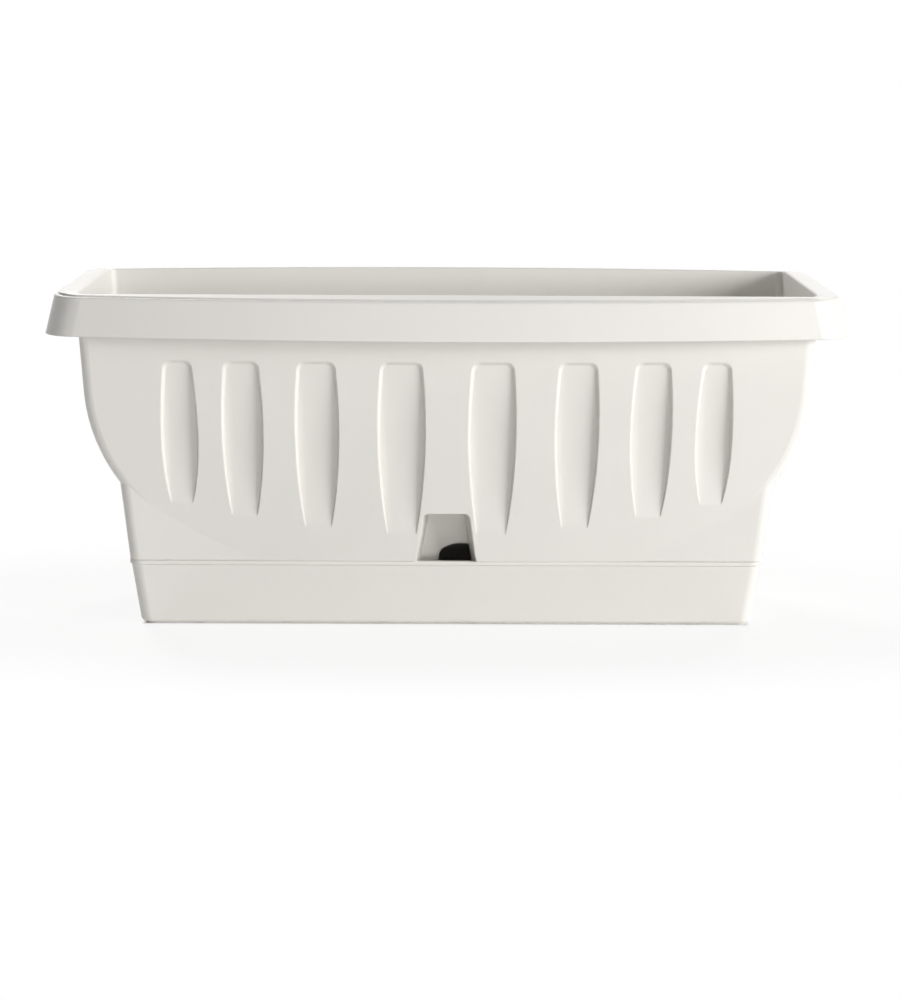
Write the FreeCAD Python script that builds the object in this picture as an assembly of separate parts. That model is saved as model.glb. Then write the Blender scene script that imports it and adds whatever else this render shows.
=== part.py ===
import FreeCAD, Part
import math
import os

# Self-watering balcony trough: a fluted planting trough that stands in a shallow water tray.
# Millimetres.  The origin is under the middle of the tray, on the surface it stands on.
# +X runs along the trough, -Y is the front with the filling niche, +Z is up.

V = FreeCAD.Vector

# ---- overall sizes ----
LENGTH = 500.0              # over the rim skirt
DEPTH = 200.0               # over the rim skirt, at mid length
TRAY_HEIGHT = 43.9          # standing surface to the tray's rim, where the trough's shoulder rests
BODY_HEIGHT = 172.6         # shoulder to the step line on top of the rim
WALL = 2.2                  # trough wall

# ---- rim: a flared skirt under a sloping band ----
RIM_SKIRT = 23.8            # height of the skirt
RIM_FLARE = 5.6             # how much further out the skirt is at its foot than at its top
RIM_BOW_RADIUS = 1500.0     # plan radius of the two long sides of the rim
RIM_CORNER = 24.0
RIM_WIDTH_MID = 22.0        # skirt's foot to the inner edge of the rim, at mid length
RIM_WIDTH_END = 22.0        # the same at the two ends
RIM_EDGE_RADIUS = 1.6       # outer top edge
RIM_LEDGE = 2.4             # narrow ledge outside the band
RIM_STEP = 0.9              # height of the band's outer edge above the ledge
BAND_SLOPE = 6.2            # degrees, rising inwards
CREST_RADIUS = 1.0          # inner top edge
RIM_TOP = 2.6               # thickness of the rim's top over the hollow skirt
RIM_RIB = 1.6               # cross ribs inside the hollow rim
RIM_RIB_PITCH = 62.0
RIM_RIB_RISE = 5.0          # ribs stop this far above the skirt's foot

# ---- belly: bowed, drafted front and back, with ends that curl under ----
BELLY_BOW_RADIUS = 3400.0
BELLY_DRAFT = 8.2           # degrees, front and back
END_DRAFT = 2.1             # degrees, the straight upper part of the ends
END_STRAIGHT = 62.5         # height of that straight part below the inner edge of the rim
END_CURL_RADIUS = 109.7
END_CURL_ANGLE = 50.0       # degrees of the curl, the last of it hidden inside the foot box
BELLY_CORNER = 7.0

# ---- foot box: straight walls between the belly and the tray ----
BELLY_PROUD = 2.1           # belly in front of the foot box at the shoulder, mid length
FOOT_DRAFT_FRONT = 3.4      # degrees
FOOT_DRAFT_END = 5.4        # degrees
FOOT_INSET = 47.0           # end of the rim skirt to the end of the foot box at the shoulder
FOOT_CORNER = 7.0
FOOT_RISE = 62.0            # the foot box runs up inside the belly by this much
SPIGOT_DROP = 13.0          # how far the trough's spigot reaches down into the tray
SPIGOT_CLEARANCE = 0.4
FLOOR_LIFT = 15.0           # shoulder to the underside of the trough's floor
BELLY_EDGE = 0.5            # rounded lower edge of the belly, over the tray's rim
FOOT_EDGE = 0.7             # the same on the foot box; unlike the belly's, which it crosses

# ---- flutes: recessed panels that run out downwards ----
FLUTE_CENTRES = (28.4, 81.4, 128.1, 167.8)  # closer together towards the ends
FLUTE_WIDTHS = (27.6, 25.1, 23.2, 19.1)     # of the flat bottoms, at the waist
FLUTE_TOP_TAPER = 5.5       # narrower at the top than at the waist
FLUTE_FOOT_TAPER = 10.0     # narrower at the foot than at the waist
FLUTE_TOP_GAP = 18.1        # rim skirt's foot to the top of the flutes
FLUTE_WAIST = 44.0          # top of the flutes down to their widest place
FLUTE_LENGTH = 112.0        # of a flute at mid length
FLUTE_FOOT_RADIUS = 700.0   # the feet of the flutes follow a shallow arc
FLUTE_DEPTH = 4.6           # at the top
FLUTE_WALL_DRAFT = 22.0     # degrees
FLUTE_CORNER = 5.5
FLUTE_SAG = 1.6             # dip of the curved foot
FLUTE_REACH = 12.0          # how far a flute cutter stands out of the belly

# ---- filling niche in the front of the foot box ----
NICHE_TOP_WIDTH = 27.2
NICHE_MOUTH_WIDTH = 38.3    # at the shoulder
NICHE_HEIGHT = 32.4         # above the shoulder
NICHE_DEPTH = 24.0
NICHE_SIDE_DRAFT = 7.0      # degrees, in plan
NICHE_CORNER = 4.0
PORT_RADIUS = 14.5          # round water port in the niche's back wall
PORT_OFFSET = 9.5           # of the port's centre from the middle, in X
PORT_DROP = 4.0             # of the port's centre below the shoulder

# ---- water tray ----
TRAY_WALL = 2.0
TRAY_SETBACK = 0.1          # tray wall inside the line of the foot box
TRAY_BEAD = 0.5             # rim bead stands out of the tray's wall
TRAY_BEAD_HEIGHT = 2.8
TRAY_BEAD_EDGE = 0.4        # its rounded outer top edge
TRAY_DRAFT = 7.2            # degrees
TRAY_CORNER = 8.0
TRAY_FOOT_RADIUS = 3.0      # lower outer edge
TRAY_FOOT_GAP = 1.0         # under that edge, outside the standing ring
TRAY_FOOT_INSET = 3.0       # tray's outside to the standing ring
TRAY_RECESS = 1.2           # the tray's underside is raised inside the ring
TRAY_RECESS_MARGIN = 14.0   # tray's outside to the inside of the ring

# ---- soil grid on the trough's floor ----
GRID_STAND = 11.0           # trough's floor to the underside of the grid
GRID_THICKNESS = 2.4
GRID_CLEARANCE = 1.0
GRID_CORNER = 6.0
GRID_LIP = 4.0              # stiffening lip down the edge of the grid
GRID_LIP_WALL = 1.8
GRID_FOOT_RADIUS = 5.0
GRID_TOE_RADIUS = 3.5
GRID_FOOT_MARGIN = 14.0     # feet stand this far inside the grid's edge
SLOT_WIDTH = 3.0
SLOT_LENGTH = 15.0
SLOT_PITCH = 9.0
SLOT_ROW_PITCH = 21.0
SLOT_MARGIN = 6.0           # solid plate left round sockets, feet and edges

# ---- wick baskets ----
BASKET_STEP = 82.0          # distance between neighbouring baskets
BASKET_COUNT = 4
BASKET_RADIUS = 22.0        # outside, under the flange
BASKET_TIP_RADIUS = 16.5
BASKET_WALL = 1.6
BASKET_FLANGE = 4.0         # flange overhangs the socket by this much
BASKET_FLANGE_HEIGHT = 1.8
BASKET_CLEARANCE = 0.4      # in the grid's socket
BASKET_FLOOR_GAP = 5.0      # basket tip above the tray's floor
BASKET_PORT_CLEARANCE = 1.5 # in the trough's floor
BASKET_SLOT_WIDTH = 2.6
BASKET_SLOT_COUNT = 8
BASKET_SLOT_MARGIN = 6.0    # solid band above and below the slots
BASKET_TIP_HOLE = 3.0       # radius of the hole in the tip

# ---- drain holes of the trough and drain plug of the tray ----
DRAIN_HOLE_RADIUS = 4.0
PLUG_RADIUS = 8.0
PLUG_CLEARANCE = 0.3
PLUG_FLANGE_RADIUS = 11.5
PLUG_FLANGE_HEIGHT = 1.8
PLUG_KNOB_RADIUS = 4.0
PLUG_NECK_RADIUS = 2.8
PLUG_KNOB_HEIGHT = 7.0

CUT = 1.0                   # cutters run past the faces they open by this much
LEVEL = 0.01                # edges that climb less than this count as level
LEAST_CORNER = 0.5          # corner radius kept where an inset would use it up

# ---- levels and places worked out from the sizes above ----
SHOULDER_Z = TRAY_HEIGHT
STEP_Z = SHOULDER_Z + BODY_HEIGHT
LEDGE_Z = STEP_Z - RIM_STEP
SKIRT_Z = LEDGE_Z - RIM_SKIRT
SPIGOT_Z = SHOULDER_Z - SPIGOT_DROP
FLOOR_Z = SHOULDER_Z + FLOOR_LIFT
FLOOR_TOP_Z = FLOOR_Z + WALL
GRID_Z = FLOOR_TOP_Z + GRID_STAND
GRID_TOP_Z = GRID_Z + GRID_THICKNESS
TRAY_FLOOR_Z = TRAY_RECESS + TRAY_WALL
NICHE_TOP_Z = SHOULDER_Z + NICHE_HEIGHT
BASKET_TIP_Z = TRAY_FLOOR_Z + BASKET_FLOOR_GAP
SOCKET_RADIUS = BASKET_RADIUS + BASKET_CLEARANCE


def slope(degrees):
    """Run per unit of height of a wall with this draft."""
    return math.tan(math.radians(degrees))


def belly_half_depth(z):
    """Outside of the belly at mid length."""
    return DEPTH / 2 - RIM_WIDTH_MID + WALL - slope(BELLY_DRAFT) * (STEP_Z - z)


def foot_half_depth(z):
    """Outside of the foot box's long walls."""
    at_shoulder = belly_half_depth(SHOULDER_Z) - BELLY_PROUD
    return at_shoulder + slope(FOOT_DRAFT_FRONT) * (z - SHOULDER_Z)


def foot_half_length(z):
    """Outside of the foot box's end walls."""
    return LENGTH / 2 - FOOT_INSET + slope(FOOT_DRAFT_END) * (z - SHOULDER_Z)


def tray_half_length(z):
    """Outside of the tray's end walls."""
    return foot_half_length(SHOULDER_Z) - TRAY_SETBACK - slope(TRAY_DRAFT) * (TRAY_HEIGHT - z)


def tray_half_depth(z):
    """Outside of the tray's long walls."""
    return foot_half_depth(SHOULDER_Z) - TRAY_SETBACK - slope(TRAY_DRAFT) * (TRAY_HEIGHT - z)


def bow_sag(x, radius):
    """How far a bowed side has fallen back at x from where it is at mid length."""
    return radius - math.sqrt(radius * radius - x * x)


def mirrored_y(shape):
    """Copy of a shape on the other long side."""
    return shape.mirror(V(0, 0, 0), V(0, 1, 0))


def fused(shapes):
    """All shapes as one."""
    return shapes[0].fuse(list(shapes[1:])) if len(shapes) > 1 else shapes[0]


def block(x0, x1, y0, y1, z0, z1):
    """Box between two corners."""
    return Part.makeBox(x1 - x0, y1 - y0, z1 - z0, V(x0, y0, z0))


def rounded_outline(half_x, half_y, radius, z):
    """Closed wire: rectangle with four round corners, level at z."""
    edges = []
    centres = ((1, -1), (1, 1), (-1, 1), (-1, -1))
    for turn, (sx, sy) in enumerate(centres):
        centre = V(sx * (half_x - radius), sy * (half_y - radius), z)
        start = -90 + 90 * turn
        points = [centre + V(math.cos(math.radians(start + a)), math.sin(math.radians(start + a)), 0) * radius
                  for a in (0, 45, 90)]
        edges.append(Part.Arc(*points).toShape())
    joined = []
    for index, edge in enumerate(edges):
        following = edges[(index + 1) % 4]
        joined.append(edge)
        joined.append(Part.makeLine(edge.Vertexes[1].Point, following.Vertexes[0].Point))
    return Part.Wire(joined)


def tapered_box(half_x, half_y, radius, z0, z1, inset=0.0):
    """Drafted box with round corners; half_x and half_y are functions of height."""
    corner = max(radius - inset, LEAST_CORNER)
    low = rounded_outline(half_x(z0) - inset, half_y(z0) - inset, corner, z0)
    high = rounded_outline(half_x(z1) - inset, half_y(z1) - inset, corner, z1)
    return Part.makeLoft([low, high], True, True)


def bowed_outline(half_x, half_y, radius, z):
    """Closed wire: two straight ends and two long sides that bow outwards."""
    corner_y = half_y - bow_sag(half_x, radius)
    front = Part.Arc(V(-half_x, -corner_y, z), V(0, -half_y, z), V(half_x, -corner_y, z)).toShape()
    right = Part.makeLine(V(half_x, -corner_y, z), V(half_x, corner_y, z))
    back = Part.Arc(V(half_x, corner_y, z), V(0, half_y, z), V(-half_x, corner_y, z)).toShape()
    left = Part.makeLine(V(-half_x, corner_y, z), V(-half_x, -corner_y, z))
    return Part.Wire([front, right, back, left])


def level_edges(shape, z):
    """Edges that lie at one level."""
    return [edge for edge in shape.Edges
            if abs(edge.BoundBox.ZMin - z) < LEVEL and abs(edge.BoundBox.ZMax - z) < LEVEL]


def standing_edges(shape):
    """Edges that climb from one level to another."""
    return [edge for edge in shape.Edges if edge.BoundBox.ZLength > LEVEL]


def bowed_block(low, high, radius, corner):
    """Solid between two bowed outlines, each (half_x, half_y, z), with round corners."""
    solid = Part.makeLoft([bowed_outline(low[0], low[1], radius, low[2]),
                           bowed_outline(high[0], high[1], radius, high[2])], True, True)
    return solid.makeFillet(corner, standing_edges(solid))


def end_profile(inset, z_top):
    """Front silhouette of the belly: drafted ends that curl under, as a face in the XZ plane."""
    draft = math.radians(END_DRAFT)
    x_crest = LENGTH / 2 - RIM_WIDTH_END + WALL
    tangent_z = STEP_Z - END_STRAIGHT
    centre_x = x_crest - END_STRAIGHT * math.tan(draft) - END_CURL_RADIUS * math.cos(draft)
    centre_z = tangent_z + END_CURL_RADIUS * math.sin(draft)
    radius = END_CURL_RADIUS - inset

    def on_curl(angle):
        return V(centre_x + radius * math.cos(angle), 0, centre_z - radius * math.sin(angle))

    last = math.radians(END_CURL_ANGLE)
    upper = on_curl(draft)
    lower = on_curl(last)
    foot_z = SHOULDER_Z - CUT
    foot_x = lower.x - (lower.z - foot_z) * math.tan(last)
    top = V(upper.x + (z_top - upper.z) * math.tan(draft), 0, z_top)
    foot = V(foot_x, 0, foot_z)
    middle = on_curl((draft + last) / 2)

    def flip(point):
        return V(-point.x, 0, point.z)

    return Part.Face(Part.Wire([
        Part.makeLine(flip(top), top),
        Part.makeLine(top, upper),
        Part.Arc(upper, middle, lower).toShape(),
        Part.makeLine(lower, foot),
        Part.makeLine(foot, flip(foot)),
        Part.makeLine(flip(foot), flip(lower)),
        Part.Arc(flip(lower), flip(middle), flip(upper)).toShape(),
        Part.makeLine(flip(upper), flip(top)),
    ]))


def belly(inset, z0, z1):
    """Belly between two levels, moved inwards by inset."""
    half_x = LENGTH / 2
    low = bowed_outline(half_x, belly_half_depth(z0) - inset, BELLY_BOW_RADIUS, z0)
    high = bowed_outline(half_x, belly_half_depth(z1) - inset, BELLY_BOW_RADIUS, z1)
    prism = Part.makeLoft([low, high], True, True)
    silhouette = end_profile(inset, z1 + CUT)
    silhouette.translate(V(0, -DEPTH, 0))
    solid = prism.common(silhouette.extrude(V(0, 2 * DEPTH, 0)))
    corner = max(BELLY_CORNER - inset, LEAST_CORNER)
    return solid.makeFillet(corner, standing_edges(solid))


def flute_places():
    """Centre, waist width and foot level of each flute on one long side."""
    top_z = SKIRT_Z - FLUTE_TOP_GAP
    places = []
    for centre, width in zip(FLUTE_CENTRES, FLUTE_WIDTHS):
        foot_z = top_z - FLUTE_LENGTH + centre * centre / (2 * FLUTE_FOOT_RADIUS)
        places.append((centre, width, foot_z))
        places.append((-centre, width, foot_z))
    return places


def flute(centre, width, foot_z, grow):
    """Cutter of one flute on the front; grow makes the larger one that leaves an even wall."""
    top_z = SKIRT_Z - FLUTE_TOP_GAP
    lean = slope(BELLY_DRAFT) - FLUTE_DEPTH / (top_z - foot_z)
    foot_y = bow_sag(centre, BELLY_BOW_RADIUS) - belly_half_depth(foot_z)

    def outline(out):
        spread = grow + out * slope(FLUTE_WALL_DRAFT)

        def at(x, z):
            y = foot_y + (x - centre) * centre / BELLY_BOW_RADIUS - lean * (z - foot_z) + grow - out
            return V(x, y, z)

        top = width / 2 - FLUTE_TOP_TAPER / 2 + spread
        waist = width / 2 + spread
        foot = width / 2 - FLUTE_FOOT_TAPER / 2 + spread
        z_top = top_z + spread
        z_waist = top_z - FLUTE_WAIST
        z_foot = foot_z - spread
        return Part.Wire([
            Part.makeLine(at(centre - top, z_top), at(centre + top, z_top)),
            Part.Arc(at(centre + top, z_top), at(centre + waist, z_waist), at(centre + foot, z_foot)).toShape(),
            Part.Arc(at(centre + foot, z_foot), at(centre, z_foot - FLUTE_SAG),
                     at(centre - foot, z_foot)).toShape(),
            Part.Arc(at(centre - foot, z_foot), at(centre - waist, z_waist), at(centre - top, z_top)).toShape(),
        ])

    solid = Part.makeLoft([outline(0.0), outline(FLUTE_REACH)], True, True)
    upper = [edge for edge in solid.Edges
             if edge.BoundBox.YLength > FLUTE_REACH / 2 and edge.CenterOfMass.z > top_z - FLUTE_WAIST / 2]
    return solid.makeFillet(FLUTE_CORNER + grow, upper)


def flutes(grow):
    """All flute cutters, front and back."""
    front = [flute(centre, width, foot_z, grow) for centre, width, foot_z in flute_places()]
    return front + [mirrored_y(one) for one in front]


def rim_section(inset, z):
    """Half length, half depth and level of the flared skirt's outside, moved inwards by inset."""
    flare = RIM_FLARE * (z - SKIRT_Z) / RIM_SKIRT
    return (LENGTH / 2 - flare - inset, DEPTH / 2 - flare - inset, z)


def band_cutters(half_x, half_y):
    """Everything above the four slopes of the rim's band."""
    rise = slope(BAND_SLOPE)
    outline = bowed_outline(half_x, half_y, RIM_BOW_RADIUS, STEP_Z)
    inwards = (V(0, 1, 0), V(-1, 0, 0), V(0, -1, 0), V(1, 0, 0))
    reach = DEPTH / 2
    cutters = []
    for edge, way in zip(outline.Edges, inwards):
        start = edge.copy()
        start.translate(way * -RIM_LEDGE + V(0, 0, -RIM_LEDGE * rise))
        sheet = start.extrude(way * reach + V(0, 0, reach * rise))
        cutters.append(sheet.extrude(V(0, 0, RIM_SKIRT)))
    return cutters


def rim(opening):
    """Rim with its hollow, ribbed skirt, round the trough's opening."""
    blank = bowed_block(rim_section(0, SKIRT_Z), rim_section(0, LEDGE_Z), RIM_BOW_RADIUS, RIM_CORNER)
    blank = blank.makeFillet(RIM_EDGE_RADIUS, level_edges(blank, LEDGE_Z))
    band_x = LENGTH / 2 - RIM_FLARE - RIM_LEDGE
    band_y = DEPTH / 2 - RIM_FLARE - RIM_LEDGE
    platform = bowed_block((band_x, band_y, LEDGE_Z - RIM_TOP / 2), (band_x, band_y, STEP_Z + RIM_TOP),
                           RIM_BOW_RADIUS, RIM_CORNER - RIM_LEDGE)
    for cutter in band_cutters(band_x, band_y):
        platform = platform.cut(cutter)
    hollow = bowed_block(rim_section(WALL, SKIRT_Z - CUT), rim_section(WALL, LEDGE_Z - RIM_TOP),
                         RIM_BOW_RADIUS, RIM_CORNER - WALL)
    ring = blank.fuse(platform).cut(hollow).fuse(hollow.common(rim_ribs())).cut(opening)
    crest = [edge for edge in ring.Edges
             if abs(edge.CenterOfMass.x) < LENGTH / 2 - RIM_WIDTH_END + CREST_RADIUS
             and abs(edge.CenterOfMass.y) < DEPTH / 2 - RIM_WIDTH_MID + CREST_RADIUS
             and edge.BoundBox.ZMin > STEP_Z]
    return ring.makeFillet(CREST_RADIUS, crest)


def rim_ribs():
    """Cross ribs of the hollow rim, wider than the hollow they are trimmed to."""
    low = SKIRT_Z + RIM_RIB_RISE
    count = int((LENGTH / 2 - RIM_CORNER - RIM_WIDTH_END) / RIM_RIB_PITCH)
    ribs = []
    for number in range(-count, count + 1):
        x = number * RIM_RIB_PITCH
        ribs.append(block(x - RIM_RIB / 2, x + RIM_RIB / 2, -DEPTH, DEPTH, low, LEDGE_Z))
    for y in (-RIM_RIB_PITCH / 2, RIM_RIB_PITCH / 2):
        ribs.append(block(-LENGTH, LENGTH, y - RIM_RIB / 2, y + RIM_RIB / 2, low, LEDGE_Z))
    return fused(ribs)


def spigot(inset, z0, z1):
    """Lower end of the trough that fits into the tray."""
    gap = TRAY_WALL + SPIGOT_CLEARANCE
    return tapered_box(lambda z: tray_half_length(z) - gap, lambda z: tray_half_depth(z) - gap,
                       TRAY_CORNER - gap, z0, z1, inset)


def niche(grow, z0, back):
    """Filling niche as a solid, open at the front; grow makes its housing."""
    front_y = -belly_half_depth(STEP_Z)
    mouth_y = -foot_half_depth(SHOULDER_Z)
    widening = (NICHE_MOUTH_WIDTH - NICHE_TOP_WIDTH) / 2 / NICHE_HEIGHT

    def outline(y):
        narrow = slope(NICHE_SIDE_DRAFT) * (y - mouth_y)
        top = NICHE_TOP_WIDTH / 2 + grow - narrow
        low = top + widening * (NICHE_TOP_Z + grow - z0)
        z_top = NICHE_TOP_Z + grow
        return Part.makePolygon([V(-low, y, z0), V(low, y, z0), V(top, y, z_top), V(-top, y, z_top),
                                 V(-low, y, z0)])

    back_y = mouth_y + back
    solid = Part.makeLoft([outline(front_y), outline(back_y)], True, True)
    upper = [edge for edge in solid.Edges
             if edge.BoundBox.YLength > back and edge.CenterOfMass.z > NICHE_TOP_Z - NICHE_CORNER]
    return solid.makeFillet(NICHE_CORNER + grow, upper)


def basket_places():
    """X of each wick basket."""
    return [(number - (BASKET_COUNT - 1) / 2) * BASKET_STEP for number in range(BASKET_COUNT)]


def plug_x():
    """The drain plug sits midway between the last two baskets."""
    last_two = basket_places()[-2:]
    return sum(last_two) / 2


def basket_radius_at(z):
    """Outside radius of a basket at a level."""
    share = (GRID_TOP_Z - z) / (GRID_TOP_Z - BASKET_TIP_Z)
    return BASKET_RADIUS + (BASKET_TIP_RADIUS - BASKET_RADIUS) * share


def trough_cavity(opening):
    """Soil space and the space under the floor, as the solid that is cut from the trough."""
    inner_belly = opening
    for bump in flutes(WALL):
        inner_belly = inner_belly.cut(bump)
    inner_foot = tapered_box(foot_half_length, foot_half_depth, FOOT_CORNER,
                             SHOULDER_Z + WALL, SHOULDER_Z + FOOT_RISE, WALL)
    space = inner_belly.fuse(inner_foot)
    space = space.cut(block(-LENGTH, LENGTH, -DEPTH, DEPTH, FLOOR_Z, FLOOR_TOP_Z))
    return space.fuse(spigot(WALL, SPIGOT_Z - CUT, SHOULDER_Z + WALL + CUT))


def floor_openings():
    """Ports for the baskets and drain holes between them."""
    cutters = []
    port = basket_radius_at(FLOOR_TOP_Z) + BASKET_PORT_CLEARANCE
    for x in basket_places():
        cutters.append(Part.makeCylinder(port, WALL + 2 * CUT, V(x, 0, FLOOR_Z - CUT)))
    for number in range(BASKET_COUNT + 1):
        x = (number - BASKET_COUNT / 2) * BASKET_STEP
        for y in (-port, port):
            if abs(x) > NICHE_MOUTH_WIDTH / 2 + WALL + DRAIN_HOLE_RADIUS or y > 0:
                cutters.append(Part.makeCylinder(DRAIN_HOLE_RADIUS, WALL + 2 * CUT, V(x, y, FLOOR_Z - CUT)))
    return cutters


def trough():
    """Planting trough: belly, foot box, spigot, rim, flutes, floor and filling niche."""
    opening = belly(WALL, SHOULDER_Z + WALL, STEP_Z + RIM_TOP)
    outer = belly(0, SHOULDER_Z, LEDGE_Z - RIM_TOP / 2)
    for cutter in flutes(0):
        outer = outer.cut(cutter)
    outer = outer.makeFillet(BELLY_EDGE, level_edges(outer, SHOULDER_Z))
    foot = tapered_box(foot_half_length, foot_half_depth, FOOT_CORNER, SHOULDER_Z, SHOULDER_Z + FOOT_RISE)
    foot = foot.makeFillet(FOOT_EDGE, level_edges(foot, SHOULDER_Z))
    stem = spigot(0, SPIGOT_Z, SHOULDER_Z + WALL)
    outer = outer.fuse([foot, stem])
    housing = niche(WALL, SPIGOT_Z, NICHE_DEPTH + WALL).common(outer)
    shell = outer.cut(trough_cavity(opening)).fuse([rim(opening), housing])
    shell = shell.cut(niche(0, SPIGOT_Z - CUT, NICHE_DEPTH))
    reach = niche(0, SPIGOT_Z - CUT, NICHE_DEPTH + 2 * WALL)
    port = Part.makeCylinder(PORT_RADIUS, DEPTH, V(PORT_OFFSET, -DEPTH, SHOULDER_Z - PORT_DROP), V(0, 1, 0))
    shell = shell.cut(port.common(reach))
    for cutter in floor_openings():
        shell = shell.cut(cutter)
    return shell


def water_tray():
    """Shallow tray: drafted walls, rim bead, standing ring and drain hole."""
    body = tapered_box(tray_half_length, tray_half_depth, TRAY_CORNER, TRAY_FOOT_GAP, TRAY_HEIGHT)
    body = body.makeFillet(TRAY_FOOT_RADIUS, level_edges(body, TRAY_FOOT_GAP))
    ring = tapered_box(tray_half_length, tray_half_depth, TRAY_CORNER, 0, TRAY_FLOOR_Z, TRAY_FOOT_INSET)
    bead = tapered_box(lambda z: tray_half_length(TRAY_HEIGHT) + TRAY_BEAD,
                       lambda z: tray_half_depth(TRAY_HEIGHT) + TRAY_BEAD,
                       TRAY_CORNER + TRAY_BEAD, TRAY_HEIGHT - TRAY_BEAD_HEIGHT, TRAY_HEIGHT)
    bead = bead.makeFillet(TRAY_BEAD_EDGE, level_edges(bead, TRAY_HEIGHT))
    space = tapered_box(tray_half_length, tray_half_depth, TRAY_CORNER, TRAY_FLOOR_Z, TRAY_HEIGHT + CUT,
                        TRAY_WALL)
    recess = tapered_box(tray_half_length, tray_half_depth, TRAY_CORNER, -CUT, TRAY_RECESS,
                         TRAY_RECESS_MARGIN)
    drain = Part.makeCylinder(PLUG_RADIUS, TRAY_FLOOR_Z + 2 * CUT, V(plug_x(), 0, -CUT))
    return body.fuse([bead, ring]).cut(space).cut(recess).cut(drain)


def grid_slots(half_x, half_y):
    """Slots of the soil grid, left out round sockets, feet and the niche."""
    sockets = [V(x, 0, 0) for x in basket_places()]
    keep = SOCKET_RADIUS + BASKET_FLANGE + SLOT_MARGIN
    feet = grid_feet(half_x, half_y)
    niche_x = NICHE_TOP_WIDTH / 2 + WALL + GRID_CLEARANCE + SLOT_MARGIN
    slots = []
    columns = int((half_x - SLOT_MARGIN) / SLOT_PITCH)
    rows = int((half_y - SLOT_MARGIN - SLOT_LENGTH / 2) / SLOT_ROW_PITCH)
    for column in range(-columns, columns + 1):
        for row in range(-rows, rows + 1):
            place = V(column * SLOT_PITCH, row * SLOT_ROW_PITCH, 0)
            near_socket = any((place - socket).Length < keep for socket in sockets)
            near_foot = any((place - foot).Length < GRID_FOOT_RADIUS + SLOT_MARGIN + SLOT_LENGTH / 2
                            for foot in feet)
            near_niche = abs(place.x) < niche_x and place.y < 0
            if near_socket or near_foot or near_niche:
                continue
            slots.append(block(place.x - SLOT_WIDTH / 2, place.x + SLOT_WIDTH / 2,
                               place.y - SLOT_LENGTH / 2, place.y + SLOT_LENGTH / 2,
                               GRID_Z - CUT, GRID_TOP_Z + CUT))
    return slots


def grid_feet(half_x, half_y):
    """Places of the grid's feet."""
    x = half_x - GRID_FOOT_MARGIN
    y = half_y - GRID_FOOT_MARGIN
    middle = BASKET_STEP
    return [V(sx * place, sy * y, 0) for place in (x, middle) for sx in (-1, 1) for sy in (-1, 1)]


def soil_grid():
    """Perforated false floor that keeps the soil out of the water."""
    half_x = foot_half_length(GRID_Z) - WALL - GRID_CLEARANCE
    half_y = foot_half_depth(GRID_Z) - WALL - GRID_CLEARANCE
    level_x = lambda z: half_x
    level_y = lambda z: half_y
    plate = tapered_box(level_x, level_y, GRID_CORNER, GRID_Z - GRID_LIP, GRID_TOP_Z)
    under = tapered_box(level_x, level_y, GRID_CORNER, GRID_Z - GRID_LIP - CUT, GRID_Z, GRID_LIP_WALL)
    plate = plate.cut(under)
    feet = [Part.makeCone(GRID_TOE_RADIUS, GRID_FOOT_RADIUS, GRID_STAND, V(p.x, p.y, FLOOR_TOP_Z))
            for p in grid_feet(half_x, half_y)]
    plate = plate.fuse(feet)
    gap = WALL + GRID_CLEARANCE
    plate = plate.cut(niche(gap, FLOOR_TOP_Z, NICHE_DEPTH + gap))
    sockets = [Part.makeCylinder(SOCKET_RADIUS, GRID_STAND, V(x, 0, GRID_Z - GRID_STAND / 2))
               for x in basket_places()]
    return plate.cut(sockets + grid_slots(half_x, half_y))


def wick_basket(x):
    """Slotted soil cup that hangs from the grid into the water."""
    tip = BASKET_TIP_RADIUS
    top_z = GRID_TOP_Z
    wall = BASKET_WALL
    profile = Part.makePolygon([
        V(BASKET_TIP_HOLE, 0, BASKET_TIP_Z),
        V(tip, 0, BASKET_TIP_Z),
        V(BASKET_RADIUS, 0, top_z),
        V(SOCKET_RADIUS + BASKET_FLANGE, 0, top_z),
        V(SOCKET_RADIUS + BASKET_FLANGE, 0, top_z + BASKET_FLANGE_HEIGHT),
        V(BASKET_RADIUS - wall, 0, top_z + BASKET_FLANGE_HEIGHT),
        V(BASKET_RADIUS - wall, 0, top_z),
        V(tip - wall, 0, BASKET_TIP_Z + wall),
        V(BASKET_TIP_HOLE, 0, BASKET_TIP_Z + wall),
        V(BASKET_TIP_HOLE, 0, BASKET_TIP_Z),
    ])
    cup = Part.Face(profile).revolve(V(0, 0, 0), V(0, 0, 1), 360)
    slot = block(tip / 2, BASKET_RADIUS + CUT, -BASKET_SLOT_WIDTH / 2, BASKET_SLOT_WIDTH / 2,
                 BASKET_TIP_Z + BASKET_SLOT_MARGIN, FLOOR_Z - BASKET_SLOT_MARGIN)
    cutters = []
    for number in range(BASKET_SLOT_COUNT):
        one = slot.copy()
        one.rotate(V(0, 0, 0), V(0, 0, 1), 360 * (number + 0.5) / BASKET_SLOT_COUNT)
        cutters.append(one)
    cup = cup.cut(cutters)
    cup.translate(V(x, 0, 0))
    return cup


def drain_plug():
    """Push-in plug of the tray's drain hole, pulled out from above by its knob."""
    x = plug_x()
    shank = Part.makeCylinder(PLUG_RADIUS - PLUG_CLEARANCE, TRAY_WALL, V(x, 0, TRAY_RECESS))
    flange = Part.makeCylinder(PLUG_FLANGE_RADIUS, PLUG_FLANGE_HEIGHT, V(x, 0, TRAY_FLOOR_Z))
    knob_z = TRAY_FLOOR_Z + PLUG_FLANGE_HEIGHT
    knob = Part.makeCone(PLUG_NECK_RADIUS, PLUG_KNOB_RADIUS, PLUG_KNOB_HEIGHT, V(x, 0, knob_z))
    return shank.fuse([flange, knob])


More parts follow.
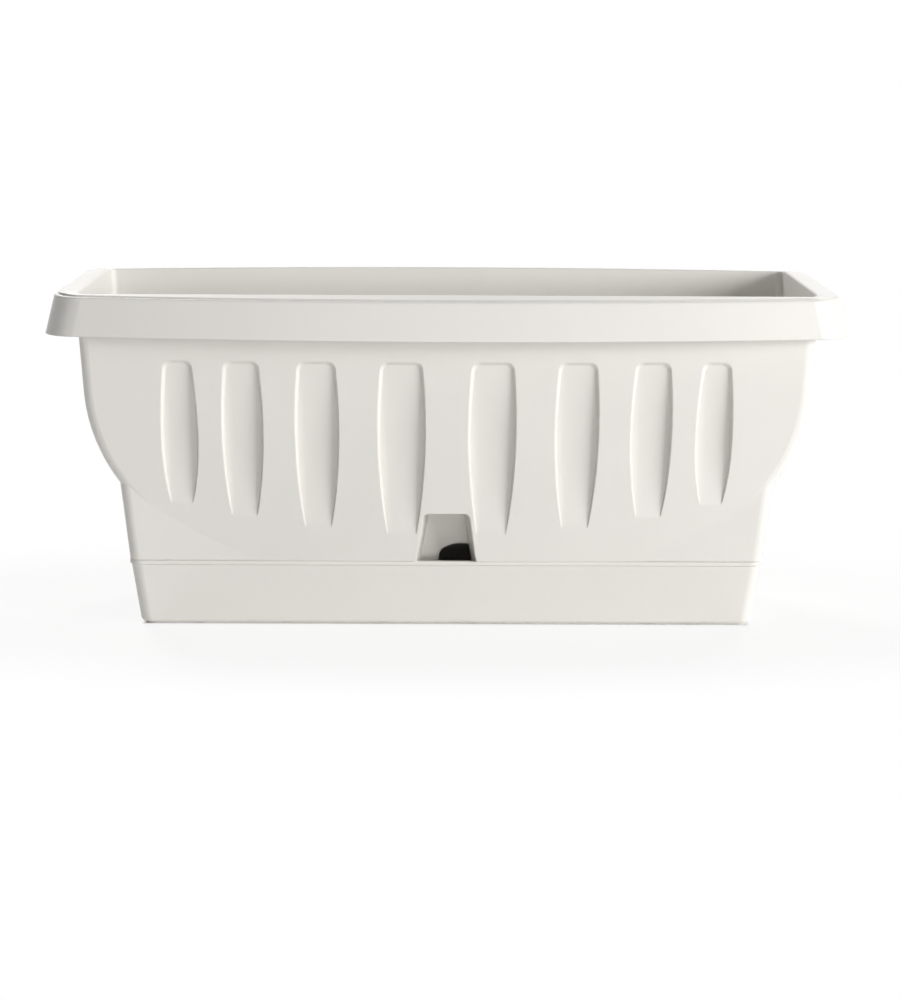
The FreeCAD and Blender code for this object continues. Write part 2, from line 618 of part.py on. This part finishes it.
def save(name, shape):
    """Write one node as one solid."""
    solids = shape.Solids
    if len(solids) != 1 or not shape.isValid():
        raise ValueError(f"{name}: {len(solids)} solids, valid {shape.isValid()}")
    solids[0].exportStep(f"parts/{name}.step")
    print(name, "volume", round(solids[0].Volume), "faces", len(solids[0].Faces))


def main():
    """Build every node."""
    os.makedirs("parts", exist_ok=True)
    save("trough", trough())
    save("water_tray", water_tray())
    save("soil_grid", soil_grid())
    for number, x in enumerate(basket_places(), start=1):
        save(f"wick_basket_{number}", wick_basket(x))
    save("drain_plug", drain_plug())


main()
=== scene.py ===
import logging
import math
from dataclasses import dataclass
from typing import ClassVar

import bpy
from mathutils import Matrix, Vector


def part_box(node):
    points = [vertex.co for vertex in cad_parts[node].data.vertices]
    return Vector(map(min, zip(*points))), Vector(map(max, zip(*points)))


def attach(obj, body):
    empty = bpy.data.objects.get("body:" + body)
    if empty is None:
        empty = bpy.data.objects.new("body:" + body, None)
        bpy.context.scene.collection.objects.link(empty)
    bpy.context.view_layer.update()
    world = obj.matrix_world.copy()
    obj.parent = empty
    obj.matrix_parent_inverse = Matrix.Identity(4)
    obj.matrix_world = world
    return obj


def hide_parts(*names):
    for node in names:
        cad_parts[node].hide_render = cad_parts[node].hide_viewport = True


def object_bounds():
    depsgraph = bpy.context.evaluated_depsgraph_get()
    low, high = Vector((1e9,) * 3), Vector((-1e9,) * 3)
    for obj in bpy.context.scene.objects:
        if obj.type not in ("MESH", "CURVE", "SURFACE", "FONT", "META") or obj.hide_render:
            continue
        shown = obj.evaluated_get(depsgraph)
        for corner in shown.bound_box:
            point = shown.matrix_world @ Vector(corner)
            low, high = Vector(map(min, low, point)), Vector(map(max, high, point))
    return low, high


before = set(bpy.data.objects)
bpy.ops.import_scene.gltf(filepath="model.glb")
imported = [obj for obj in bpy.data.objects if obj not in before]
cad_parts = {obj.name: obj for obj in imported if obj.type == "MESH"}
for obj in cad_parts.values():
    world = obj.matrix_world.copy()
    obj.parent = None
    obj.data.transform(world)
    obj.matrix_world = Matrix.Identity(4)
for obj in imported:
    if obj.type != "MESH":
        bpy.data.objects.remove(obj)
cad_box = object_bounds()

log = logging.getLogger("planter")

Number = int | float
Colour = tuple[float, float, float]
Point = tuple[float, float, float]

MIX_FACTOR, MIX_FIRST, MIX_SECOND = 0, 6, 7     # inputs of the Mix node that blend colours
MIX_COLOUR = 2                                  # its colour output

# ---------------------------------------------------------------- shader maths


class Wire:
    """A shader socket that takes part in Python expressions, each operator adding one Math node."""

    def __init__(self, graph: "Graph", socket: bpy.types.NodeSocket) -> None:
        """Wrap one output socket.

        Args:
            graph: The material graph that the socket belongs to.
            socket: The output socket itself.
        """
        self.graph = graph
        self.socket = socket

    def _math(self, operation: str, *values: "Wire | Number") -> "Wire":
        """Add one Math node.

        Args:
            operation: The Math node's operation.
            values: Its inputs in order, wires or numbers.

        Returns:
            The node's result.
        """
        return self.graph.add("ShaderNodeMath", {"operation": operation},
                              dict(enumerate(values))).out()

    def __add__(self, other: "Wire | Number") -> "Wire":
        """Sum."""
        return self._math("ADD", self, other)

    __radd__ = __add__

    def __sub__(self, other: "Wire | Number") -> "Wire":
        """Difference."""
        return self._math("SUBTRACT", self, other)

    def __mul__(self, other: "Wire | Number") -> "Wire":
        """Product."""
        return self._math("MULTIPLY", self, other)

    def __abs__(self) -> "Wire":
        """Size without sign."""
        return self._math("ABSOLUTE", self)

    def at_least(self, other: "Wire | Number") -> "Wire":
        """The larger of the two."""
        return self._math("MAXIMUM", self, other)

    def step(self, low: Number, high: Number) -> "Wire":
        """Smooth rise from 0 at low to 1 at high; high may be the smaller one.

        Args:
            low: Value at which the result is 0.
            high: Value at which the result is 1.

        Returns:
            The eased value.
        """
        return self.graph.add(
            "ShaderNodeMapRange", {"interpolation_type": "SMOOTHSTEP", "clamp": True},
            {"Value": self, "From Min": low, "From Max": high}).out("Result")


class Placed:
    """A node that has been added to a graph."""

    def __init__(self, graph: "Graph", node: bpy.types.Node) -> None:
        """Remember the node and its graph."""
        self.graph = graph
        self.node = node

    def out(self, name: str | int = 0) -> Wire:
        """One of the node's outputs, by name or number."""
        return Wire(self.graph, self.node.outputs[name])


class Graph:
    """The node tree of one material or world."""

    def __init__(self, tree: bpy.types.NodeTree) -> None:
        """Start from an empty tree."""
        self.tree = tree
        tree.nodes.clear()

    def add(self, kind: str, settings: dict[str, object] | None = None,
            values: "dict[str | int, Wire | Number | tuple[float, ...]] | None" = None) -> Placed:
        """Add one node: its type and settings first, then the values and links of its sockets.

        Args:
            kind: The node's type.
            settings: Properties of the node.
            values: Numbers, colours or wires for its inputs, by name or number.

        Returns:
            The node, ready to be read from.
        """
        node = self.tree.nodes.new(kind)
        for key, value in (settings or {}).items():
            setattr(node, key, value)
        for key, value in (values or {}).items():
            socket = node.inputs[key]
            if isinstance(value, Wire):
                self.tree.links.new(value.socket, socket)
            elif isinstance(value, tuple) and socket.type == "RGBA":
                socket.default_value = (*value[:3], 1.0)
            else:
                socket.default_value = value
        return Placed(self, node)

    def place(self) -> Wire:
        """Position on the object in metres."""
        return self.add("ShaderNodeTexCoord").out("Object")

    def axes(self, vector: Wire) -> tuple[Wire, Wire, Wire]:
        """X, Y and Z of a vector."""
        split = self.add("ShaderNodeSeparateXYZ", values={0: vector})
        return split.out(0), split.out(1), split.out(2)

    def stretched(self, vector: Wire, scale: Point) -> Wire:
        """A position with each axis scaled by itself."""
        return self.add("ShaderNodeMapping", {"vector_type": "POINT"},
                        {"Vector": vector, "Scale": scale}).out("Vector")

    def length(self, vector: Wire) -> Wire:
        """Length of a vector."""
        return self.add("ShaderNodeVectorMath", {"operation": "LENGTH"}, {0: vector}).out("Value")

    def noise(self, vector: Wire, scale: Number, detail: Number, roughness: Number) -> Wire:
        """Smooth noise round 0.5.

        Args:
            vector: Position that it is read at.
            scale: Repeats per metre.
            detail: Finer layers that are added.
            roughness: Strength of the finer layers.

        Returns:
            The noise.
        """
        return self.add("ShaderNodeTexNoise", values={
            "Vector": vector, "Scale": scale, "Detail": detail, "Roughness": roughness}).out(0)

    def blend(self, factor: Wire | Number, first: Wire | Colour, second: Wire | Colour) -> Wire:
        """Mix two colours.

        Args:
            factor: Share of the second colour.
            first: Colour at factor 0.
            second: Colour at factor 1.

        Returns:
            The mixed colour.
        """
        mixed = self.add("ShaderNodeMix", {"data_type": "RGBA", "blend_type": "MIX"},
                         {MIX_FACTOR: factor, MIX_FIRST: first, MIX_SECOND: second})
        return mixed.out(MIX_COLOUR)


# ---------------------------------------------------------------- finishes


@dataclass(frozen=True)
class Grain:
    """One noise of a finish."""

    scale: float                    # repeats per metre
    detail: float                   # finer layers that are added
    roughness: float                # strength of the finer layers
    low: float = 0.0                # level at which it starts to show
    high: float = 1.0               # level at which it shows in full
    stretch: Point | None = None    # repeats per metre along each axis, where they differ

    def read(self, graph: Graph, place: Wire) -> Wire:
        """The plain noise at a place."""
        if self.stretch is not None:
            place = graph.stretched(place, self.stretch)
        return graph.noise(place, self.scale, self.detail, self.roughness)

    def shown(self, graph: Graph, place: Wire) -> Wire:
        """How strongly it shows at a place, from 0 to 1."""
        return self.read(graph, place).step(self.low, self.high)


@dataclass(frozen=True)
class Moulded:
    """Injection-moulded plastic: flow clouds, draw marks, a fine skin and worn, rounded edges."""

    name: str
    colour: Colour
    shade: Colour                   # the same plastic where the flow is thinner
    handled: Colour                 # where it is rubbed or dusty
    roughness: float = 0.42
    roughness_swing: float = 0.10
    edge_radius: float = 0.0012     # corners are rounded by this much
    edge_samples: int = 6
    skin_depth: float = 0.000012
    sink_depth: float = 0.00010
    worn_below: float = 0.006       # scuffs reach up to this level
    worn_share: float = 0.60        # how much of the handled colour scuffs show
    worn_roughness: float = 0.18    # scuffs are rougher by this much
    worn_depth: float = 0.00002
    speck_share: float = 0.10       # how much of the handled colour specks show
    speck_roughness: float = 0.05
    cloud_share: float = 0.55       # flow clouds against draw marks, in the colour
    ior: float = 1.49
    clouds: Grain = Grain(9.0, 2.0, 0.55, 0.30, 0.72)
    draws: Grain = Grain(1.0, 3.0, 0.6, stretch=(150.0, 150.0, 5.0))    # they run along Z
    specks: Grain = Grain(900.0, 2.0, 0.7, 0.69, 0.80)
    scuffs: Grain = Grain(1.0, 4.0, 0.7, 0.50, 0.72, (60.0, 60.0, 260.0))   # round the foot
    wander: Grain = Grain(60.0, 3.0, 0.6)           # slow changes of roughness
    skin: Grain = Grain(1.0 / 0.00045, 2.0, 0.6)    # one grain is 0.45 mm wide
    sink: Grain = Grain(1.0 / 0.055, 1.0, 0.4)      # slow waves where the wall shrank

    def material(self) -> bpy.types.Material:
        """Build the material.

        Returns:
            A new material that reads Object coordinates only.
        """
        made = bpy.data.materials.new(self.name)
        made.use_nodes = True
        graph = Graph(made.node_tree)
        place = graph.place()
        height = graph.axes(place)[2]

        clouds = self.clouds.shown(graph, place)
        draws = self.draws.read(graph, place)
        specks = self.specks.shown(graph, place)
        worn = self.scuffs.shown(graph, place) * height.step(self.worn_below, 0.0)

        flow = clouds * self.cloud_share + draws * (1.0 - self.cloud_share)
        colour = graph.blend(flow, self.shade, self.colour)
        colour = graph.blend(specks * self.speck_share, colour, self.handled)
        colour = graph.blend(worn * self.worn_share, colour, self.handled)

        wander = self.wander.read(graph, place)
        roughness = (self.roughness + (wander - 0.5) * self.roughness_swing
                     + worn * self.worn_roughness + specks * self.speck_roughness)

        skin = self.skin.read(graph, place)
        sink = self.sink.read(graph, place)
        relief = skin * self.skin_depth + sink * self.sink_depth - worn * self.worn_depth
        rounded = graph.add("ShaderNodeBevel", {"samples": self.edge_samples},
                            {"Radius": self.edge_radius}).out("Normal")
        normal = graph.add("ShaderNodeBump", values={
            "Strength": 1.0, "Distance": 1.0, "Height": relief, "Normal": rounded}).out("Normal")

        shader = graph.add("ShaderNodeBsdfPrincipled", {"distribution": "MULTI_GGX"}, {
            "Base Color": colour, "Roughness": roughness, "IOR": self.ior, "Normal": normal})
        graph.add("ShaderNodeOutputMaterial", values={"Surface": shader.out("BSDF")})
        return made


# ---------------------------------------------------------------- sub-assemblies


@dataclass
class MouldedPart:
    """One or more like pieces that come out of one tool."""

    nodes: tuple[str, ...]
    finish: Moulded

    def dress(self) -> None:
        """Give every piece this part's finish."""
        material = self.finish.material()
        for name in self.nodes:
            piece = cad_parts[name]
            for holder in piece.material_slots:
                holder.material = material
            low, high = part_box(name)
            log.info("%s: %s, %.0f x %.0f x %.0f mm", name, self.finish.name,
                     *((high - low) * 1000.0))


@dataclass(frozen=True)
class Flute:
    """One recessed panel of the belly."""

    side_margin: ClassVar[float] = 0.0075   # the rim round a flute: beside it and above it
    foot_margin: ClassVar[float] = 0.004    # and below its foot

    centre: float                   # from mid length
    width: float                    # of its floor, at its waist
    foot: float                     # level of its foot
    top: float                      # level of its top edge

    def height_share(self, level: float) -> float:
        """How far up the flute a level is, 0 at its foot and 1 at its top."""
        return (level - self.foot) / (self.top - self.foot)

    def holds(self, x: float, level: float) -> bool:
        """Whether a place lies on this flute or on the rim round it."""
        return (abs(x - self.centre) < self.width / 2 + self.side_margin
                and self.foot - self.foot_margin < level < self.top + self.side_margin)


@dataclass
class FlutedTrough(MouldedPart):
    """The trough, in a shell of its own whose flutes are scooped deepest at their waist."""

    slot: str = "trough_plastic"
    centres: tuple[float, ...] = (0.0284, 0.0814, 0.1281, 0.1678)
    widths: tuple[float, ...] = (0.0276, 0.0251, 0.0232, 0.0191)
    flute_top: float = 0.1737
    flute_length: float = 0.112
    foot_arc: float = 0.700         # the feet of the flutes follow this arc
    solid_depth: float = 0.0046     # of the plain flutes at their top, down to 0 at the foot
    belly_base: float = 0.049002    # half depth of the belly, carried down to the ground
    belly_lean: float = 0.144102
    bow_radius: float = 3.400
    wall: float = 0.0022
    top_depth: float = 0.0019
    swell: float = 0.0041
    swell_place: float = 0.88       # below 1 the deepest place lies lower
    foot_spread: tuple[float, ...] = (1.03, 1.07, 1.16, 1.45)   # feet, wider than the solid's
    flatness: float = 0.5           # 1 where the floors face straight ahead
    rows: float = 0.004             # one row of faces every so often
    niche_half_width: float = 0.016 # the niche between the middle flutes is left alone
    niche_top: float = 0.078
    port: tuple[float, float, float] = (0.0095, 0.0399, 0.0145)     # x, level and radius
    port_sill: float = 0.0439       # the tray's edge, over which the port is seen
    port_squash: float = 0.60       # height that the port keeps above it
    port_reach: float = 1e-4        # its edge is taken to be this thick
    smooth_angle: float = 32.0      # degrees
    merge_distance: float = 1e-6    # seams are closed over this much
    skin_above: float = 0.001       # the fluted wall reaches this far out from the belly
    skin_below: float = 0.009       # and this far in
    keys_per_metre: ClassVar[float] = 1e5   # places are matched to a hundredth of a millimetre
    slack: float = 5e-5             # how well a place has to fit the plain flute
    overreach: float = 1.1          # plain depths up to this many times the reckoned one
    turn_rise: float = 8.0          # the floor's turn is full at 1 over this of the height

    def flutes(self) -> list[Flute]:
        """All flutes of one long side, on both sides of mid length."""
        made = []
        for centre, width in zip(self.centres, self.widths):
            foot = self.flute_top - self.flute_length + centre * centre / (2 * self.foot_arc)
            made += [Flute(side * centre, width, foot, self.flute_top) for side in (-1, 1)]
        return made

    def belly(self, x: float, level: float) -> float:
        """Distance of the belly's outside from the middle plane."""
        sag = self.bow_radius - math.sqrt(self.bow_radius ** 2 - x * x)
        return self.belly_base + self.belly_lean * level - sag

    def scooped(self, flute: Flute, x: float, level: float) -> float:
        """Depth that a flute's floor gets.

        Args:
            flute: The flute.
            x: Place along the trough.
            level: Height above the ground.

        Returns:
            The depth below the belly.
        """
        share = min(max(flute.height_share(level), 0.0), 1.0)
        turn = (x - flute.centre) * flute.centre / self.bow_radius * self.flatness
        depth = (self.top_depth * share + self.swell * math.sin(math.pi * share ** self.swell_place)
                 - turn * min(share * self.turn_rise, 1.0))
        return max(depth, 0.0)

    def build(self) -> bpy.types.Object:
        """Copy the plain trough, close its seams and scoop out its flutes.

        Returns:
            The new shell, which stands for the plain trough.
        """
        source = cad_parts["trough"]
        flutes = self.flutes()
        shell = self._merged_copy(source)
        mesh = shell.data
        self._cut_rows(shell, flutes)
        self._scoop(mesh, flutes)
        self._flatten_port(mesh)
        bpy.ops.object.shade_smooth_by_angle(angle=math.radians(self.smooth_angle))
        self._apply("WEIGHTED_NORMAL", keep_sharp=True)
        shell.vertex_groups.clear()
        self._keep_normals(source.data, mesh, flutes)
        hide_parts(*self.nodes)
        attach(shell, "trough")
        return shell

    def _merged_copy(self, source: bpy.types.Object) -> bpy.types.Object:
        """Copy the plain trough and close its seams.

        Args:
            source: The plain trough.

        Returns:
            The copy, which is the active object.
        """
        shell = bpy.data.objects.new("trough_shell", source.data.copy())
        bpy.context.scene.collection.objects.link(shell)
        bpy.ops.object.select_all(action="DESELECT")
        shell.select_set(True)
        bpy.context.view_layer.objects.active = shell
        bpy.ops.mesh.customdata_custom_splitnormals_clear()
        bpy.ops.object.mode_set(mode="EDIT")
        bpy.ops.mesh.select_all(action="SELECT")
        bpy.ops.mesh.remove_doubles(threshold=self.merge_distance)
        bpy.ops.object.mode_set(mode="OBJECT")
        return shell

    def _cut_rows(self, shell: bpy.types.Object, flutes: list[Flute]) -> None:
        """Cut the faces of the flutes into level rows, which can follow a curve.

        Args:
            shell: The merged shell, which is the active object.
            flutes: The flutes of one long side.
        """
        fluted = shell.vertex_groups.new(name="fluted")
        fluted.add([vertex.index for vertex in shell.data.vertices
                    if self._on_fluted_wall(vertex.co, flutes)], 1.0, "REPLACE")
        lowest = min(flute.foot for flute in flutes)
        bpy.ops.object.mode_set(mode="EDIT")
        for row in range(1, int((self.flute_top - lowest) / self.rows)):
            bpy.ops.mesh.select_all(action="DESELECT")
            bpy.ops.object.vertex_group_select()
            bpy.ops.mesh.bisect(plane_co=(0.0, 0.0, lowest + row * self.rows),
                                plane_no=(0.0, 0.0, 1.0))
        bpy.ops.object.mode_set(mode="OBJECT")

    def _on_fluted_wall(self, place: Vector, flutes: list[Flute]) -> bool:
        """Whether a place lies in the wall of a flute, or on its rim."""
        x, y, level = place
        return (any(flute.holds(x, level) for flute in flutes)
                and -self.skin_above < self.belly(x, level) - abs(y) < self.skin_below)

    @classmethod
    def _keep_normals(cls, source: bpy.types.Mesh, mesh: bpy.types.Mesh, flutes: list[Flute]) -> None:
        """Shade everything beside the flutes as the plain trough is shaded.

        Args:
            source: The plain trough's mesh.
            mesh: The shell's mesh, which has its own shading so far.
            flutes: The flutes of one long side.
        """
        def spot(place: Vector) -> tuple[int, int, int]:
            """A place as a key."""
            return tuple(round(value * cls.keys_per_metre) for value in place)

        known: dict[tuple[int, int, int], list[tuple[Vector, Vector]]] = {}
        for face in source.polygons:
            for corner in face.loop_indices:
                place = source.vertices[source.loops[corner].vertex_index].co
                known.setdefault(spot(place), []).append(
                    (face.normal.copy(), source.corner_normals[corner].vector.copy()))
        normals = [Vector(corner.vector) for corner in mesh.corner_normals]
        for face in mesh.polygons:
            for corner in face.loop_indices:
                place = mesh.vertices[mesh.loops[corner].vertex_index].co
                found = known.get(spot(place))
                if found and not any(flute.holds(place.x, place.z) for flute in flutes):
                    normals[corner] = max(found, key=lambda pair: pair[0].dot(face.normal))[1]
        mesh.normals_split_custom_set(normals)

    @staticmethod
    def _apply(kind: str, **settings: object) -> None:
        """Add a modifier to the active object and apply it."""
        bpy.ops.object.modifier_add(type=kind)
        modifier = bpy.context.object.modifiers[-1]
        for key, value in settings.items():
            setattr(modifier, key, value)
        bpy.ops.object.modifier_apply(modifier=modifier.name)

    def _scoop(self, mesh: bpy.types.Mesh, flutes: list[Flute]) -> None:
        """Move the flutes' faces, outside and inside alike, to their new depth.

        Args:
            mesh: The merged shell.
            flutes: The flutes of one long side; the other side has the same.
        """
        outward = [vertex.normal.y * vertex.co.y > 0.0 for vertex in mesh.vertices]
        spread = dict(zip(self.centres, self.foot_spread))
        for vertex in mesh.vertices:
            x, y, level = vertex.co
            flute = next((f for f in flutes if f.holds(x, level)), None)
            in_niche = abs(x) < self.niche_half_width and level < self.niche_top
            if flute is None or in_niche:
                continue
            face = self.belly(x, level) - (0.0 if outward[vertex.index] else self.wall)
            plain = (self.solid_depth * flute.height_share(level)
                     - (x - flute.centre) ** 2 / (2 * self.bow_radius))
            sunk = face - abs(y)
            if not -self.slack < sunk < plain * self.overreach + self.slack:
                continue
            share = min(max(sunk / plain, 0.0), 1.0) if plain > self.slack else 0.0
            up = min(max(flute.height_share(level), 0.0), 1.0)
            widen = 1.0 + (spread[abs(flute.centre)] - 1.0) * (1.0 - up) ** 2
            moved = flute.centre + (x - flute.centre) * widen
            change = share * (self.scooped(flute, moved, level) - plain)
            change += self.belly(x, level) - self.belly(moved, level)
            vertex.co.x = moved
            vertex.co.y = math.copysign(abs(y) - change, y)

    def _flatten_port(self, mesh: bpy.types.Mesh) -> None:
        """Make the round water port a low arch above the tray's edge."""
        centre_x, centre_level, radius = self.port
        for vertex in mesh.vertices:
            x, y, level = vertex.co
            off = abs(math.hypot(x - centre_x, level - centre_level) - radius)
            if off < self.port_reach and y < 0.0 and level > self.port_sill:
                vertex.co.z = self.port_sill + (level - self.port_sill) * self.port_squash

    def dress(self) -> None:
        """Build the shell and give it this part's finish."""
        shell = self.build()
        shell.data.materials.clear()
        shell.data.materials.append(self.finish.material())
        log.info("trough_shell: %s, %d faces", self.finish.name, len(shell.data.polygons))


# ---------------------------------------------------------------- studio


@dataclass(frozen=True)
class Softbox:
    """A rectangular lamp with a diffuser, placed round the object."""

    name: str
    bearing: float                  # degrees, 0 in front and positive to the right
    rise: float                     # degrees above the object's middle
    distance: float
    size: tuple[float, float]       # width and height
    power: float
    colour: Colour = (1.0, 1.0, 1.0)

    def hang(self, aim: Vector) -> None:
        """Hang the lamp so that it points at aim.

        Args:
            aim: The point that it lights.
        """
        lamp = bpy.data.lights.new(self.name, "AREA")
        lamp.shape = "RECTANGLE"
        lamp.size, lamp.size_y = self.size
        lamp.energy = self.power
        lamp.color = self.colour
        holder = bpy.data.objects.new(self.name, lamp)
        bpy.context.scene.collection.objects.link(holder)
        bearing, rise = math.radians(self.bearing), math.radians(self.rise)
        towards = Vector((math.sin(bearing) * math.cos(rise), -math.cos(bearing) * math.cos(rise),
                          math.sin(rise)))
        holder.location = aim + towards * self.distance
        holder.rotation_mode = "QUATERNION"
        holder.rotation_quaternion = (-towards).to_track_quat("-Z", "Y")


@dataclass
class Studio:
    """White floor, white surroundings and softboxes."""

    floor_size: float = 30.0
    floor_colour: Colour = (0.90, 0.90, 0.89)
    near_glow: float = 0.85         # share of plain white seen on the floor beside the object
    near_reach: float = 1.15        # where the floor starts to whiten, in half sizes of the object
    far_reach: float = 2.2          # and where it is all white
    contact: float = 0.002          # the floor darkens over this much at the tray's foot
    foot_margin: float = 0.008      # the tray's foot is rounded by this much
    sky_colour: Colour = (1.0, 1.0, 1.0)
    lamps: tuple[Softbox, ...] = (
        Softbox("key_lamp", 56.0, 12.0, 4.0, (2.8, 1.3), 145.0),
        Softbox("front_lamp", 8.0, 3.0, 3.0, (1.2, 0.5), 16.0),
        Softbox("top_lamp", 0.0, 80.0, 2.2, (1.0, 1.0), 3.0),
        Softbox("left_lamp", -65.0, 35.0, 3.0, (1.2, 1.2), 4.5),
        Softbox("rear_left_lamp", -150.0, 40.0, 2.4, (0.8, 0.8), 32.0),
        Softbox("rear_right_lamp", 150.0, 40.0, 2.4, (0.8, 0.8), 20.0),
    )

    @staticmethod
    def _seen(graph: Graph) -> Wire:
        """1 where a camera, mirror or glass ray looks, and 0 where light only bounces."""
        path = graph.add("ShaderNodeLightPath")
        seen = path.out("Is Camera Ray").at_least(path.out("Is Glossy Ray"))
        return seen.at_least(path.out("Is Transmission Ray"))

    def build(self) -> None:
        """Lay the floor, set the surroundings and hang the lamps."""
        low, high = cad_box
        self._lay_floor()
        self._set_sky()
        for lamp in self.lamps:
            lamp.hang((low + high) / 2)
            log.info("%s: %.0f W", lamp.name, lamp.power)

    def _lay_floor(self) -> None:
        """Plain pale floor under the object, which keeps the object's shadow and is white elsewhere."""
        bpy.ops.object.select_all(action="DESELECT")
        bpy.ops.mesh.primitive_plane_add(size=self.floor_size, location=(0.0, 0.0, 0.0))
        floor = bpy.context.object
        floor.name = "floor"
        material = bpy.data.materials.new("floor_paper")
        material.use_nodes = True
        graph = Graph(material.node_tree)
        paper = graph.add("ShaderNodeBsdfDiffuse", values={"Color": self.floor_colour})
        glow = graph.add("ShaderNodeEmission", values={"Color": (1.0, 1.0, 1.0), "Strength": 1.0})
        low, high = cad_box
        half = (high - low) / 2
        away = graph.length(graph.stretched(graph.place(), (1.0 / half.x, 1.0 / half.y, 0.0)))
        white = away.step(self.near_reach, self.far_reach)
        tray_low, tray_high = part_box("water_tray")
        foot = (tray_high - tray_low) / 2
        across, along, _ = graph.axes(graph.place())
        beside = ((abs(across) - (foot.x - self.foot_margin)).at_least(
            abs(along) - (foot.y - self.foot_margin))).step(-self.contact, self.contact)
        share = self._seen(graph) * beside * (self.near_glow + white * (1.0 - self.near_glow))
        mixed = graph.add("ShaderNodeMixShader", values={0: share, 1: paper.out(), 2: glow.out()})
        graph.add("ShaderNodeOutputMaterial", values={"Surface": mixed.out()})
        floor.data.materials.append(material)

    def _set_sky(self) -> None:
        """Surroundings that are white where they are looked at and give no light."""
        world = bpy.data.worlds.new("surroundings")
        world.use_nodes = True
        bpy.context.scene.world = world
        graph = Graph(world.node_tree)
        sky = graph.add("ShaderNodeBackground", values={
            "Color": self.sky_colour, "Strength": self._seen(graph)})
        graph.add("ShaderNodeOutputWorld", values={"Surface": sky.out()})


@dataclass(frozen=True)
class Viewpoint:
    """Camera in front of the planter, a little above its rim."""

    place: Point = (-0.005613, -1.418508, 0.381035)
    pitch: float = 0.21419          # radians below the horizon
    yaw: float = 0.00570
    roll: float = -0.00479
    lens: float = 79.014            # mm
    film: float = 36.0              # mm along the tall side

    def build(self) -> None:
        """Make the camera and look through it."""
        camera = bpy.data.cameras.new("camera")
        camera.lens = self.lens
        camera.sensor_width = self.film
        holder = bpy.data.objects.new("camera", camera)
        bpy.context.scene.collection.objects.link(holder)
        turn = (Matrix.Rotation(-self.yaw, 4, "Z")
                @ Matrix.Rotation(math.pi / 2 - self.pitch, 4, "X")
                @ Matrix.Rotation(-self.roll, 4, "Z"))
        holder.matrix_world = Matrix.Translation(self.place) @ turn
        bpy.context.scene.camera = holder
        log.info("camera: %.1f mm lens", self.lens)


# ---------------------------------------------------------------- the whole planter


WHITE_COLOURS = ((0.800, 0.780, 0.742), (0.775, 0.755, 0.716), (0.560, 0.545, 0.515))
WARM_WHITE = Moulded("warm_white_plastic", *WHITE_COLOURS)
TRAY_WHITE = Moulded("tray_white_plastic", *WHITE_COLOURS)
ANTHRACITE = Moulded("anthracite_plastic", (0.090, 0.091, 0.095), (0.070, 0.071, 0.075),
                     (0.150, 0.148, 0.145), roughness=0.48, worn_below=-1.0)
BLACK_RUBBER = Moulded("black_rubber", (0.030, 0.030, 0.031), (0.024, 0.024, 0.025),
                       (0.080, 0.078, 0.075), roughness=0.68, sink_depth=0.0, worn_below=-1.0)


def main() -> None:
    """Build the studio and dress every part, in order."""
    logging.basicConfig(level=logging.INFO, format="%(name)s: %(message)s")
    bpy.context.scene.view_settings.view_transform = "Standard"
    Viewpoint().build()
    FlutedTrough(("trough",), WARM_WHITE).dress()
    MouldedPart(("water_tray",), TRAY_WHITE).dress()
    MouldedPart(("soil_grid",), ANTHRACITE).dress()
    baskets = tuple(name for name in sorted(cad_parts) if name.startswith("wick_basket"))
    MouldedPart(baskets, ANTHRACITE).dress()
    MouldedPart(("drain_plug",), BLACK_RUBBER).dress()
    Studio().build()


if __name__ == "__main__":
    main()
